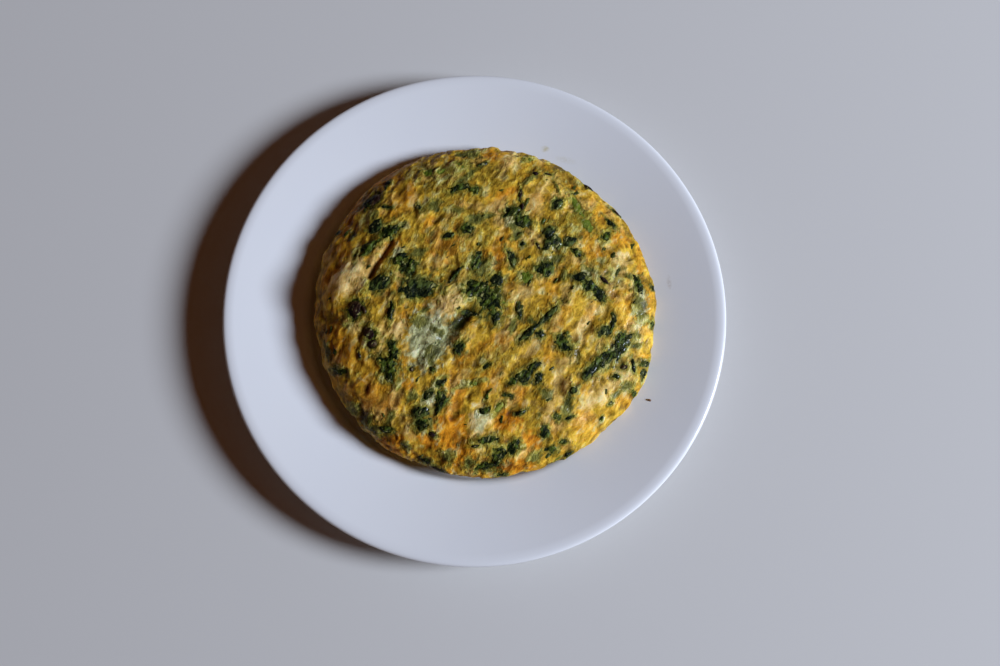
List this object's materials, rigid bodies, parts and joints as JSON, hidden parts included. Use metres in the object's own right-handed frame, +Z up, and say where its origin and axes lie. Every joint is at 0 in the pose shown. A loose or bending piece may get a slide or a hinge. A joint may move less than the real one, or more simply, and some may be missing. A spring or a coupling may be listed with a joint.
{
  "type": "cod omelette on a plate",
  "caption": "Thick round omelette with chopped spinach cooked through it, lying whole on a white dinner plate with a wide sloping rim.",
  "frame": {"origin": "centre of the plate's underside, on the surface that the plate stands on", "axes": "+Z up, the plate's axis; +X to the right and +Y away as the picture is seen"},
  "size_m": [0.27, 0.27, 0.0407],
  "materials": {
    "white_glaze": "smooth white glaze with a soft shine",
    "cooked_egg": "moist cooked egg, yellow with browned high spots, a soft wet shine",
    "greens": "dark cooked leaf, moist"
  },
  "bodies": {
    "root": {"plate": "white_glaze", "omelette": "cooked_egg"}
  },
  "joints": []
}
